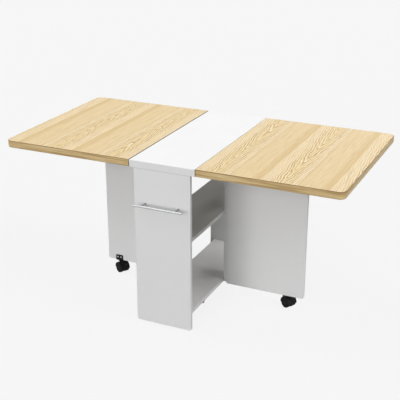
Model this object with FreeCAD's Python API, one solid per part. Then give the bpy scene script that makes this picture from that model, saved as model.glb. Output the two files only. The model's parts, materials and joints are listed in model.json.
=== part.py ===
import FreeCAD, Part
import math
import os

# Folding kitchen table on casters: a narrow open cabinet carries a fixed centre top, a hinged
# leaf at each end and a swinging gate that holds each leaf up. All sizes are millimetres.
# X runs from leaf end to leaf end, Y from the handle end to the far end, Z up from the floor.
# Everything is drawn about the table's middle and moved to the file origin at the end.
# The table is the same after half a turn about Z, apart from its one handle.

V = FreeCAD.Vector

# ---------------------------------------------------------------- table top
table_length = 1540.0          # leaf end to leaf end, leaves up
table_depth = 800.0            # along Y, without the handle
table_height = 750.0           # floor to upper face
top_thickness = 32.0
centre_width = 300.0           # fixed centre top, along X
leaf_gap = 3.0                 # open joint between a leaf and the centre top
leaf_corner_radius = 28.0
leaf_lower_round = 5.0         # rounded lower edge of a leaf
leaf_upper_round = 1.2
band_thickness = 1.5           # edge band on a leaf's three free sides
centre_top_round = 2.5         # softened upper edges of the centre top

# ---------------------------------------------------------------- cabinet
board_thickness = 16.0         # end panels, shelves and gates
panel_width = 260.0            # end panels, along X
panel_floor_gap = 7.0
panel_corner_radius = 8.0
board_edge_round = 1.0         # softened edges of the white boards
shelf_inset = 20.0             # from an end panel's edge to a shelf's, and a hinge post's thickness
middle_shelf_top = 416.0
post_width = 64.0              # hinge posts, along Y

# ---------------------------------------------------------------- gates
gate_width = 376.0
gate_edge_gap = 1.0            # between a gate's edge and its post
gate_top_clearance = 0.75      # between a gate's upper edge and the leaf hinge barrels
glide_length = 30.0
glide_width = 12.0
glide_from_edge = 20.0         # from the gate's outer edge to the glide
glide_clearance = 0.3          # between a glide and the leaf above it
glide_round = 2.0
glide_peg_radius = 3.0
glide_peg_length = 12.0

# ---------------------------------------------------------------- hinges
hinge_plate = 1.5              # plate thickness
hinge_plate_width = 30.0       # from pin to far edge
hinge_closing_gap = 0.5        # between the two plates when folded together
barrel_radius = 3.5
hinge_pin_radius = 1.75
running_clearance = 0.05       # radial, for everything that turns on a pin
knuckle_gap = 0.3              # along the pin, between knuckles
barrel_clearance = 0.5         # pocket round a barrel
moving_knuckle_share = 0.4     # of the barrel's length
leaf_hinge_length = 100.0
leaf_hinge_place = 200.0       # from the table's middle to a leaf hinge's middle
leaf_hinge_screws = 4
gate_hinge_length = 60.0
gate_hinge_end = 50.0          # from a gate's end to the middle of its last hinge
gate_hinges = 3
gate_hinge_screws = 3
hinge_screw_line = 17.0        # from pin to the line of screws
hinge_screw_margin = 10.0      # from a plate's end to its last screw

# ---------------------------------------------------------------- casters
caster_height = 59.5           # floor to the underside that a caster is fixed to
caster_plate = 2.5
wheel_radius = 25.0
wheel_width = 17.0
wheel_side_gap = 0.3
tread_round = 3.0
hub_recess_radius = 16.0
hub_recess_depth = 2.0
hub_cap = 3.0                  # closed wall of a wheel outside its axle
caster_trail = 17.0            # from swivel axis to wheel centre
web_thickness = 14.0
web_floor_gap = 9.0
neck_radius = 6.5              # round the kingpin, a little slimmer than the web
canopy_gap = 1.0
canopy_thickness = 2.0
canopy_drop = 3.0              # how far the canopy reaches below the axle
swivel_gap = 0.3               # between the swivel collar and the plate above it
collar_radius = 11.0
collar_height = 4.0
axle_radius = 3.0
axle_end_gap = 0.5
kingpin_radius = 4.0
kingpin_reach = 25.0           # from plate down into the caster's body
kingpin_end_gap = 1.0
cabinet_caster_x = 57.0
cabinet_caster_y = 160.0
cabinet_caster_heading = 130.0 # degrees from +X to the way the front caster at +X trails
cabinet_plate_side = 44.0
cabinet_plate_corner = 5.0
cabinet_plate_screw = 15.0     # from the plate's middle to a screw, along X and along Y
gate_caster_from_edge = 60.0   # from a gate's outer edge to its caster's swivel axis
gate_caster_heading = 150.0    # degrees from +X to the way the caster at +X trails
bracket_width = 38.0
bracket_flange = 29.0          # upright part, against the gate's face
bracket_lip = 4.0              # how far the flat part passes the gate's outer face
bracket_corner = 4.0
bracket_screw_pitch = 17.0
bracket_screw_height = 18.0    # above the flat part's lower face

# ---------------------------------------------------------------- brake lever
lever_pivot_angle = 35.0       # above level, seen from the axle
lever_pivot_rise = 3.5         # from the canopy's outer face to the lever's pivot
lever_width = 20.0
lever_length = 16.0
lever_pad_round = 4.0
lever_edge_round = 1.0
lever_thickness = 2.5
lever_tilt = 10.0              # how much the released lever stands above the pivot's radius
lever_hub_radius = 2.6
lever_nose_length = 5.9
lever_nose_angle = 50.0        # between the released nose and the way to the axle
trunnion_radius = 1.25
ear_thickness = 2.0
ear_radius = 3.0
ear_gap = 0.3

# ---------------------------------------------------------------- handle
handle_length = 224.0
handle_pitch = 154.0           # between its two standoffs
handle_radius = 5.0
handle_standoff = 40.0         # from panel face to bar axis
handle_height = 566.0
handle_end_round = 0.8
standoff_radius = 4.0
handle_screw_radius = 2.0
handle_screw_depth = 12.0      # into a standoff
handle_screw_head_radius = 4.5
handle_screw_head = 2.5
handle_screw_clearance = 0.25

# ---------------------------------------------------------------- fasteners
screw_radius = 1.75
screw_length = 12.0            # of the shank, in the board
countersunk_head_radius = 3.2
pan_head_radius = 3.5
pan_head_height = 2.0
recess_width = 0.9             # cross recess
recess_span = 3.6
recess_depth = 0.9
dowel_radius = 4.0
dowel_short_end = 10.0
dowel_long_end = 20.0
dowel_place = 30.0             # from the middle of a board's end
post_dowel_inset = 11.0        # from a post's upright edge
cam_place = 75.0               # from the middle of a board's end
cam_radius = 7.5
cam_depth = 12.5
cam_distance = 24.0            # from a board's end to a cam's axis
cam_clearance = 0.1
cam_slot_width = 1.2           # screwdriver slot
cam_slot_depth = 2.0
cam_channel_clearance = 0.6
bolt_radius = 3.0
bolt_thread_radius = 2.5
bolt_thread_length = 11.0
bolt_neck_radius = 1.65
angle_leg = 25.0
angle_width = 20.0
angle_thickness = 2.0
angle_screw_place = 15.0       # from the angle's corner

# ---------------------------------------------------------------- derived places
top_underside = table_height - top_thickness
half_depth = table_depth / 2
centre_half = centre_width / 2
leaf_start = centre_half + leaf_gap
leaf_end = table_length / 2
panel_half = panel_width / 2
shelf_half = panel_half - shelf_inset
shelf_end = half_depth - board_thickness
post_middle_y = post_width / 2
middle_shelf_bottom = middle_shelf_top - board_thickness
pin_offset = hinge_plate + hinge_closing_gap / 2
leaf_pin_x = centre_half + leaf_gap / 2
leaf_pin_z = top_underside - pin_offset
gate_pin_x = panel_half + pin_offset
gate_pin_y = pin_offset
gate_start = panel_half + gate_edge_gap
gate_end = gate_start + gate_width
gate_top = leaf_pin_z - barrel_radius - gate_top_clearance
gate_bottom = caster_height
gate_middle_y = -board_thickness / 2
gate_caster_x = gate_end - gate_caster_from_edge
plate_underside = caster_height - caster_plate
canopy_inner = wheel_radius + canopy_gap
canopy_outer = canopy_inner + canopy_thickness
wheel_inner_face = web_thickness / 2 + wheel_side_gap
wheel_outer_face = wheel_inner_face + wheel_width
handle_reach = handle_standoff + handle_radius

# The file's origin is on the floor, under the middle of the box round the whole table.
origin_shift = V(0, handle_reach / 2, 0)

X = V(1, 0, 0)
Y = V(0, 1, 0)
Z = V(0, 0, 1)
EPSILON = 0.01                 # places closer than this are the same
OVERSHOOT = 1.0                # how far a cutting tool passes a face
LARGEST_ROUND = 0.4            # of a board's thinnest side


# ================================================================ shapes
def block(x0, x1, y0, y1, z0, z1):
    """A box between two corners."""
    return Part.makeBox(x1 - x0, y1 - y0, z1 - z0, V(x0, y0, z0))


def rod(radius, start, end):
    """A cylinder from one point to another."""
    return Part.makeCylinder(radius, (end - start).Length, start, end - start)


def half_turn(shape):
    """The same shape at the table's other side."""
    turned = shape.copy()
    turned.rotate(V(0, 0, 0), Z, 180)
    return turned


def with_half_turn(shapes):
    """Shapes of one side, and their twins at the other."""
    return shapes + [half_turn(s) for s in shapes]


def group(solids):
    """Separate solids in one shape."""
    return Part.makeCompound(solids)


def placed(shape, origin, x_axis, y_axis):
    """A shape drawn in its own axes, set at a point with its X and Y along two directions."""
    z_axis = x_axis.cross(y_axis)
    columns = FreeCAD.Matrix(
        x_axis.x, y_axis.x, z_axis.x, origin.x,
        x_axis.y, y_axis.y, z_axis.y, origin.y,
        x_axis.z, y_axis.z, z_axis.z, origin.z,
        0, 0, 0, 1)
    moved = shape.copy()
    moved.Placement = FreeCAD.Placement(columns).multiply(moved.Placement)
    return moved


def rounded(shape, radius, chosen):
    """A shape with the edges that a test picks rounded."""
    edges = [e for e in shape.Edges if chosen(e.BoundBox)]
    return shape.makeFillet(radius, edges)


def same(a, b):
    """Whether two places are the same, within rounding."""
    return abs(a - b) < EPSILON


def along_y(box):
    """Whether an edge runs along Y, from its box."""
    return box.YLength > box.XLength + EPSILON and box.YLength > box.ZLength + EPSILON


def upright(box):
    """Whether an edge runs along Z, from its box."""
    return box.ZLength > box.XLength + EPSILON and box.ZLength > box.YLength + EPSILON


def softened_board(x0, x1, y0, y1, z0, z1, soft):
    """A board with some long edges softened, picked by a test on each edge's box."""
    radius = min(board_edge_round, LARGEST_ROUND * min(x1 - x0, y1 - y0, z1 - z0))
    return rounded(block(x0, x1, y0, y1, z0, z1), radius, soft)


# ================================================================ fasteners
def countersunk_blank():
    """A countersunk screw with no recess: head face at the origin, point along +Z."""
    head = Part.makeCone(countersunk_head_radius, screw_radius, hinge_plate)
    shank = rod(screw_radius, V(0, 0, hinge_plate), V(0, 0, hinge_plate + screw_length))
    return head.fuse(shank)


def pan_blank():
    """A pan head screw with no recess: the head's lower face at the origin, point along +Z."""
    head = rod(pan_head_radius, V(0, 0, -pan_head_height), V(0, 0, 0))
    head = rounded(head, pan_head_height / 2, lambda b: same(b.ZMax, -pan_head_height))
    return head.fuse(rod(screw_radius, V(0, 0, 0), V(0, 0, screw_length)))


def cross_recess(face):
    """The cross that is sunk in a screw's head from a height."""
    half = recess_span / 2
    thin = recess_width / 2
    one = block(-half, half, -thin, thin, face - EPSILON, face + recess_depth)
    two = block(-thin, thin, -half, half, face - EPSILON, face + recess_depth)
    return one.fuse(two)


def across(direction):
    """A direction along X or Y, at a right angle to one along X, Y or Z."""
    return Y if same(abs(direction.x), 1) else X


def screw_pair(blank, face, point, direction):
    """A screw's plain outline, which holes are cut with, and the finished screw."""
    side = across(direction)
    y_axis = direction.cross(side)
    outline = placed(blank, point, side, y_axis)
    finished = placed(blank.cut(cross_recess(face)), point, side, y_axis)
    return outline, finished


def pan_screws(places):
    """Outlines and finished pan head screws for a list of (point, direction)."""
    pairs = [screw_pair(pan_blank(), -pan_head_height, p, d) for p, d in places]
    return [p[0] for p in pairs], [p[1] for p in pairs]


def countersunk_screws(places):
    """Outlines and finished countersunk screws for a list of (point, direction)."""
    pairs = [screw_pair(countersunk_blank(), 0, p, d) for p, d in places]
    return [p[0] for p in pairs], [p[1] for p in pairs]


def dowel(joint, into):
    """A dowel across a joint, with its long end towards a direction."""
    return rod(dowel_radius, joint - into * dowel_short_end, joint + into * dowel_long_end)


def cam_bolt(joint, into):
    """A connecting bolt: its thread behind the joint, its neck and head reaching the cam."""
    neck_start = cam_distance - cam_radius / 2
    head_end = cam_distance + bolt_radius
    parts = [
        rod(bolt_thread_radius, joint - into * bolt_thread_length, joint),
        rod(bolt_radius, joint, joint + into * neck_start),
        rod(bolt_neck_radius, joint + into * neck_start, joint + into * cam_distance),
        rod(bolt_radius, joint + into * cam_distance, joint + into * head_end),
    ]
    return parts[0].multiFuse(parts[1:])


def cam_channel(joint, into):
    """The hole that a connecting bolt lies in, with room round it."""
    end = joint + into * (cam_distance + cam_radius)
    return rod(bolt_radius + cam_channel_clearance, joint, end)


def cam_thread(joint, into):
    """The hole that a connecting bolt is screwed into."""
    return rod(bolt_thread_radius, joint - into * bolt_thread_length, joint)


def cam_seat(joint, into, face):
    """The hole that a cam sits in; face points from its open side into the board."""
    mouth = joint + into * cam_distance
    return rod(cam_radius + cam_clearance, mouth, mouth + face * (cam_depth + cam_clearance))


def cam_housing(joint, into, face, middle):
    """A cam: a slotted disc sunk in the board, with a channel for the bolt's head."""
    mouth = joint + into * cam_distance
    disc = rod(cam_radius, mouth, mouth + face * cam_depth)
    channel = cam_channel(joint + face * middle, into)
    slot = block(-cam_radius, cam_radius, -cam_slot_width / 2, cam_slot_width / 2, 0, cam_slot_depth)
    slot = placed(slot, mouth, into, face.cross(into))
    return disc.cut(channel).cut(slot)


# ================================================================ hinges
def knuckle_spans(length, moving):
    """Where along the pin a plate has knuckles: the middle one moves, the outer two are fixed."""
    half = length / 2
    middle = moving_knuckle_share * length / 2
    if moving:
        return [(-middle, middle)]
    return [(-half, -middle - knuckle_gap), (middle + knuckle_gap, half)]


def hinge_screw_places(length, count):
    """Screws along a plate, in the plate's own axes."""
    run = length - 2 * hinge_screw_margin
    step = run / (count - 1)
    face = pin_offset - hinge_plate
    return [V(hinge_screw_line, face, i * step - run / 2) for i in range(count)]


def hinge_half(length, count, moving, origin, away, face):
    """One half of a hinge: its plate, and its screws' outlines and finished screws.

    The pin passes through origin. away points from the pin along the plate, and face points
    from the plate to the board that it is screwed to.
    """
    half = length / 2
    clear = barrel_radius + knuckle_gap
    near = pin_offset - hinge_plate
    plate = block(clear, hinge_plate_width, near, pin_offset, -half, half)
    for low, high in knuckle_spans(length, moving):
        plate = plate.fuse(block(0, clear, near, pin_offset, low, high))
        plate = plate.fuse(rod(barrel_radius, V(0, 0, low), V(0, 0, high)))
    bore = hinge_pin_radius + (running_clearance if moving else 0)
    plate = plate.cut(rod(bore, V(0, 0, -length), V(0, 0, length)))
    plate = placed(plate, origin, away, face)
    axis = away.cross(face)
    spots = hinge_screw_places(length, count)
    places = [(origin + away * s.x + face * s.y + axis * s.z, face) for s in spots]
    outlines, screws = countersunk_screws(places)
    return plate.cut(group(outlines)), outlines, screws


def barrel_pocket(length, origin, axis):
    """The room that a hinge's barrel needs in the boards beside it."""
    reach = axis * (length / 2 + barrel_clearance)
    return rod(barrel_radius + barrel_clearance, origin - reach, origin + reach)


def leaf_hinge_origins():
    """Middles of the leaf hinges at +X."""
    return [V(leaf_pin_x, side * leaf_hinge_place, leaf_pin_z) for side in (-1, 1)]


def gate_hinge_origins():
    """Middles of the gate hinges at +X."""
    low = gate_bottom + gate_hinge_end
    high = gate_top - gate_hinge_end
    step = (high - low) / (gate_hinges - 1)
    return [V(gate_pin_x, gate_pin_y, low + i * step) for i in range(gate_hinges)]


def hinge_pin(origin, axis, length):
    """A hinge's pin."""
    return rod(hinge_pin_radius, origin - axis * (length / 2), origin + axis * (length / 2))


# ================================================================ casters
def wheel_centre():
    """The axle's middle, in a caster's own axes: swivel axis at the origin, trail along +X."""
    return V(caster_trail, 0, wheel_radius)


def round_along_y(radius, half_width, centre):
    """A cylinder along Y about a centre."""
    return rod(radius, centre - Y * half_width, centre + Y * half_width)


def lever_pivot():
    """The brake lever's pivot, in a caster's own axes."""
    angle = math.radians(lever_pivot_angle)
    reach = canopy_outer + lever_pivot_rise
    return wheel_centre() + V(math.cos(angle), 0, math.sin(angle)) * reach


def lever_frame(shape, angle):
    """A shape drawn along +X, turned up by an angle and set at the lever's pivot."""
    moved = shape.copy()
    moved.rotate(V(0, 0, 0), Y, -angle)
    moved.translate(lever_pivot())
    return moved


def brake_ears():
    """Two ears on the canopy, which carry the brake lever."""
    outermost = lever_width / 2 + ear_gap + ear_thickness
    ears = []
    for side in (-1, 1):
        inner = side * (lever_width / 2 + ear_gap)
        outer = inner + side * ear_thickness
        low = min(inner, outer)
        high = max(inner, outer)
        root = lever_pivot_rise + canopy_thickness / 2
        arm = block(-root, 0, low, high, -ear_radius, ear_radius)
        eye = rod(ear_radius, V(0, low, 0), V(0, high, 0))
        hole = round_along_y(trunnion_radius + running_clearance, outermost + OVERSHOOT, V(0, 0, 0))
        ears.append(lever_frame(arm.fuse(eye).cut(hole), lever_pivot_angle))
    return ears


def caster_body(braked):
    """A twin-wheel caster's body: web, canopy and swivel neck, with ears where it has a brake."""
    centre = wheel_centre()
    half_web = web_thickness / 2
    web = round_along_y(canopy_inner + canopy_thickness / 2, half_web, centre)
    below = 2 * canopy_outer + caster_trail
    floor_cut = block(-below, below, -below, below, -below, web_floor_gap)
    canopy = round_along_y(canopy_outer, wheel_outer_face, centre)
    canopy = canopy.cut(round_along_y(canopy_inner, wheel_outer_face + OVERSHOOT, centre))
    canopy = canopy.cut(block(-below, below, -below, below, -below, wheel_radius - canopy_drop))
    neck_top = plate_underside - swivel_gap
    neck = rod(neck_radius, V(0, 0, wheel_radius), V(0, 0, neck_top))
    collar = rod(collar_radius, V(0, 0, neck_top - collar_height), V(0, 0, neck_top))
    body = web.cut(floor_cut).multiFuse([canopy, neck, collar])
    if braked:
        body = body.multiFuse(brake_ears())
        body = body.cut(lever_room())
    body = body.cut(round_along_y(axle_radius, half_web + OVERSHOOT, centre))
    bore_end = plate_underside - kingpin_reach - kingpin_end_gap
    bore = rod(kingpin_radius + running_clearance, V(0, 0, bore_end), V(0, 0, caster_height))
    return body.cut(bore).removeSplitter()


def lever_room():
    """The room between the ears, in canopy and web, that the lever's hub and nose turn in."""
    reach = lever_nose_length + lever_thickness / 2 + ear_gap
    return round_along_y(reach, lever_width / 2 + ear_gap, lever_pivot())


def caster_axle():
    """The axle, pressed into the web."""
    half = wheel_outer_face - hub_cap - axle_end_gap
    return round_along_y(axle_radius, half, wheel_centre())


def caster_wheels():
    """The two wheels of a caster."""
    centre = wheel_centre()
    wheels = []
    for side in (-1, 1):
        inner = centre + Y * (side * wheel_inner_face)
        outer = centre + Y * (side * wheel_outer_face)
        wheel = rod(wheel_radius, inner, outer)
        wheel = rounded(wheel, tread_round, lambda b: b.XLength > wheel_radius)
        recess_floor = outer - Y * (side * hub_recess_depth)
        wheel = wheel.cut(rod(hub_recess_radius, recess_floor, outer + Y * side))
        bore_end = outer - Y * (side * hub_cap)
        wheel = wheel.cut(rod(axle_radius + running_clearance, centre, bore_end))
        wheels.append(wheel)
    return group(wheels)


def brake_lever():
    """The brake lever: hub on two trunnions, foot pad outwards and nose inwards."""
    half = lever_width / 2
    thick = lever_thickness / 2
    trunnion = half + ear_gap + ear_thickness
    hub = rod(lever_hub_radius, V(0, -half, 0), V(0, half, 0))
    pins = rod(trunnion_radius, V(0, -trunnion, 0), V(0, trunnion, 0))
    pad = block(0, lever_length, -half, half, -thick, thick)
    pad = rounded(pad, lever_pad_round, lambda b: same(b.XMin, lever_length) and upright(b))
    pad = rounded(pad, lever_edge_round, lambda b: same(b.XMin, lever_length) and along_y(b))
    handle = lever_frame(hub.multiFuse([pins, pad]), lever_pivot_angle + lever_tilt)
    nose = block(0, lever_nose_length, -half, half, -thick, thick)
    tip = rod(thick, V(lever_nose_length, -half, 0), V(lever_nose_length, half, 0))
    inward = lever_pivot_angle + 180 + lever_nose_angle
    return handle.fuse(lever_frame(nose.fuse(tip), inward)).removeSplitter()


def kingpin():
    """The pin that a caster swivels on, riveted in the plate above it."""
    return rod(kingpin_radius, V(0, 0, plate_underside - kingpin_reach), V(0, 0, caster_height))


def at_caster(shape, x, y, heading):
    """A shape in a caster's own axes, set at the caster's place."""
    moved = shape.copy()
    moved.rotate(V(0, 0, 0), Z, heading)
    moved.translate(V(x, y, 0))
    return moved


def cabinet_casters():
    """Name, place and heading of the four casters under the lower shelf."""
    x = cabinet_caster_x
    y = cabinet_caster_y
    turn = cabinet_caster_heading
    return [
        ("front_right", x, -y, turn),
        ("rear_right", x, y, -turn),
        ("rear_left", -x, y, turn + 180),
        ("front_left", -x, -y, 180 - turn),
    ]


def gate_caster(shape):
    """A shape in a caster's own axes, set under the gate at +X."""
    return at_caster(shape, gate_caster_x, gate_middle_y, gate_caster_heading)


# ================================================================ joints between boards
def joint_points():
    """Where the long boards meet the end panels and the end panels meet the centre top.

    Each is (middle of the joint, way into the board that holds the cam, way from the cam's
    open face into that board, distance from that face to the board's middle).
    """
    points = []
    half = board_thickness / 2
    for side in (-1, 1):
        into = Y * -side
        for low in (caster_height, middle_shelf_bottom):
            points.append((V(0, side * shelf_end, low + half), into, Z, half))
        points.append((V(0, side * (half_depth - half), top_underside), -Z, Y * side, half))
    return points


def post_joint_points():
    """Where dowels cross from the shelves' long edges into the post at +X."""
    heights = [low + board_thickness / 2 for low in (caster_height, middle_shelf_bottom)]
    places = (post_dowel_inset, post_width - post_dowel_inset)
    return [V(shelf_half, y, z) for z in heights for y in places]


def cam_places():
    """(joint point, into, face, middle) of every cam."""
    places = []
    for middle_point, into, face, middle in joint_points():
        for x in (-cam_place, cam_place):
            places.append((middle_point + X * x, into, face, middle))
    return places


def dowels():
    """Every dowel in the cabinet."""
    pegs = []
    for middle_point, into, face, middle in joint_points():
        for x in (-dowel_place, dowel_place):
            pegs.append(dowel(middle_point + X * x, into))
    return pegs + with_half_turn([dowel(point, -X) for point in post_joint_points()])


def cam_holes():
    """Everything that the cam joints take out of the boards."""
    holes = []
    for joint, into, face, middle in cam_places():
        holes.append(cam_thread(joint, into))
        holes.append(cam_channel(joint, into))
        holes.append(cam_seat(joint - face * middle, into, face))
    return holes


def cam_bolts():
    """Every connecting bolt."""
    return [cam_bolt(joint, into) for joint, into, face, middle in cam_places()]


def cam_housings():
    """Every cam."""
    return [cam_housing(j - face * middle, into, face, middle) for j, into, face, middle in cam_places()]


# ================================================================ post brackets
def post_angle():
    """The steel angle that holds a post's head under the centre top, at +X."""
    inner = shelf_half
    thick = angle_thickness
    low = post_middle_y - angle_width / 2
    high = post_middle_y + angle_width / 2
    flat = block(inner - angle_leg, inner, low, high, top_underside - thick, top_underside)
    upright_leg = block(inner - thick, inner, low, high, top_underside - angle_leg, top_underside)
    return flat.fuse(upright_leg)


def post_angle_screw_places():
    """(point, direction) of the angle's screws at +X."""
    inner = shelf_half
    out = angle_screw_place
    thick = angle_thickness
    return [
        (V(inner - out, post_middle_y, top_underside - thick), Z),
        (V(inner - thick, post_middle_y, top_underside - out), X),
    ]


# ================================================================ boards
def centre_top_board():
    """The fixed middle of the table top, upper edges softened."""
    board = block(-centre_half, centre_half, -half_depth, half_depth, top_underside, table_height)
    return rounded(board, centre_top_round, lambda b: same(b.ZMin, table_height))


def end_panel_board(side):
    """An end panel, with rounded lower corners and softened faces; side is -1 or 1 along Y."""
    outer = side * half_depth
    inner = side * shelf_end
    low = min(outer, inner)
    high = max(outer, inner)
    board = block(-panel_half, panel_half, low, high, panel_floor_gap, top_underside)
    board = rounded(board, panel_corner_radius, lambda b: same(b.ZMax, panel_floor_gap) and along_y(b))
    return rounded(board, board_edge_round, lambda b: not along_y(b) and not same(b.ZMin, top_underside))


def shelf_board(bottom):
    """A shelf between the end panels, long edges softened."""
    top = bottom + board_thickness
    return softened_board(-shelf_half, shelf_half, -shelf_end, shelf_end, bottom, top, along_y)


def post_board():
    """The hinge post at +X, across the shelves' edges and behind the gate, upright edges softened."""
    return softened_board(shelf_half, panel_half, 0, post_width, caster_height, top_underside,
                          lambda b: upright(b) and same(b.XMin, panel_half))


def gate_board():
    """The gate at +X: a board with its outer lower corner rounded and its edges softened."""
    def lower_corner(box):
        """Whether an edge is the outer lower one, from its box."""
        return same(box.ZMax, gate_bottom) and same(box.XMin, gate_end) and along_y(box)

    board = block(gate_start, gate_end, -board_thickness, 0, gate_bottom, gate_top)
    board = rounded(board, panel_corner_radius, lower_corner)
    return rounded(board, board_edge_round, lambda b: not along_y(b) and not same(b.XMax, gate_start))


def leaf_outline(inset):
    """The leaf at +X, full height, with its three free sides moved in by an inset."""
    radius = leaf_corner_radius - inset
    side = half_depth - inset
    board = block(leaf_start, leaf_end - inset, -side, side, top_underside, table_height)
    return rounded(board, radius, lambda b: upright(b) and same(b.XMin, leaf_end - inset))


def whole_leaf():
    """The leaf at +X with its edges rounded, before it is split into board and edge band."""
    def free(box):
        """Whether an edge is away from the hinged side, from its box."""
        return not same(box.XMax, leaf_start)

    leaf = leaf_outline(0)
    leaf = rounded(leaf, leaf_upper_round, lambda b: same(b.ZMin, table_height) and free(b))
    return rounded(leaf, leaf_lower_round, lambda b: same(b.ZMax, top_underside) and free(b))


# ================================================================ handle
def handle_bar():
    """The handle's bar, across the front panel."""
    axis = V(0, -half_depth - handle_standoff, handle_height)
    half = handle_length / 2
    bar = rod(handle_radius, axis - X * half, axis + X * half)
    return rounded(bar, handle_end_round, lambda b: b.XLength < EPSILON)


def handle_standoffs():
    """The two round standoffs between panel and bar."""
    solids = []
    for x in (-handle_pitch / 2, handle_pitch / 2):
        foot = V(x, -half_depth, handle_height)
        post = rod(standoff_radius, foot, foot - Y * handle_standoff)
        thread = rod(handle_screw_radius, foot, foot - Y * handle_screw_depth)
        solids.append(post.cut(handle_bar()).cut(thread))
    return solids


def handle_screws():
    """The two screws through the front panel into the standoffs."""
    screws = []
    for x in (-handle_pitch / 2, handle_pitch / 2):
        face = V(x, -shelf_end, handle_height)
        head = rod(handle_screw_head_radius, face, face + Y * handle_screw_head)
        head = rounded(head, handle_screw_head / 2, lambda b: same(b.YMin, face.y + handle_screw_head))
        tip = V(x, -half_depth - handle_screw_depth, handle_height)
        recess = placed(cross_recess(0), face + Y * handle_screw_head, X, Z)
        screws.append(head.fuse(rod(handle_screw_radius, face, tip)).cut(recess))
    return screws


def handle_screw_holes():
    """The clearance holes for the handle's screws."""
    radius = handle_screw_radius + handle_screw_clearance
    start = V(0, -half_depth - OVERSHOOT, handle_height)
    end = V(0, -shelf_end + OVERSHOOT, handle_height)
    return [rod(radius, start + X * x, end + X * x) for x in (-handle_pitch / 2, handle_pitch / 2)]


# ================================================================ gate fittings
def gate_bracket():
    """The folded bracket under the gate at +X: a flat part and a flange up the inner face."""
    half = bracket_width / 2
    x0 = gate_caster_x - half
    x1 = gate_caster_x + half
    low = plate_underside
    flat = block(x0, x1, -board_thickness - bracket_lip, caster_plate, low, caster_height)
    flange = block(x0, x1, 0, caster_plate, low, low + bracket_flange)
    flange = rounded(flange, bracket_corner, lambda b: same(b.ZMin, low + bracket_flange) and along_y(b))
    return flat.fuse(flange).cut(at_caster(kingpin(), gate_caster_x, gate_middle_y, 0))


def gate_bracket_screw_places():
    """(point, direction) of the two screws through the bracket's flange."""
    height = plate_underside + bracket_screw_height
    half = bracket_screw_pitch / 2
    return [(V(gate_caster_x + x, caster_plate, height), -Y) for x in (-half, half)]


def gate_glide():
    """The glide pegged in the gate's upper edge, which the leaf lies on."""
    end = gate_end - glide_from_edge
    half = glide_width / 2
    top = top_underside - glide_clearance
    pad = block(end - glide_length, end, gate_middle_y - half, gate_middle_y + half, gate_top, top)
    pad = rounded(pad, glide_round, lambda b: same(b.ZMin, top))
    return pad.fuse(glide_peg())


def glide_peg():
    """The glide's peg."""
    middle = V(gate_end - glide_from_edge - glide_length / 2, gate_middle_y, gate_top)
    return rod(glide_peg_radius, middle - Z * glide_peg_length, middle)


def cabinet_plate(x, y):
    """A square caster plate under the lower shelf, with its hole for the kingpin."""
    half = cabinet_plate_side / 2
    plate = block(x - half, x + half, y - half, y + half, plate_underside, caster_height)
    plate = rounded(plate, cabinet_plate_corner, upright)
    return plate.cut(at_caster(kingpin(), x, y, 0))


def cabinet_plate_screw_places(x, y):
    """(point, direction) of a caster plate's four screws."""
    out = cabinet_plate_screw
    return [(V(x + i * out, y + j * out, plate_underside), Z) for i in (-1, 1) for j in (-1, 1)]


# ================================================================ whole table
def build_hinges(origins, length, count, fixed, moving, axis):
    """Both halves and the pins of a row of hinges at +X.

    fixed and moving are (away, face) for the two halves. Returns the fixed half's plates,
    outlines and screws, the same for the moving half, and the pins.
    """
    fixed_side = ([], [], [])
    moving_side = ([], [], [])
    pins = []
    for origin in origins:
        for side, (away, face), moves in ((fixed_side, fixed, False), (moving_side, moving, True)):
            plate, outlines, screws = hinge_half(length, count, moves, origin, away, face)
            side[0].append(plate)
            side[1].extend(outlines)
            side[2].extend(screws)
        pins.append(hinge_pin(origin, axis, length))
    return fixed_side, moving_side, pins


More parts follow.
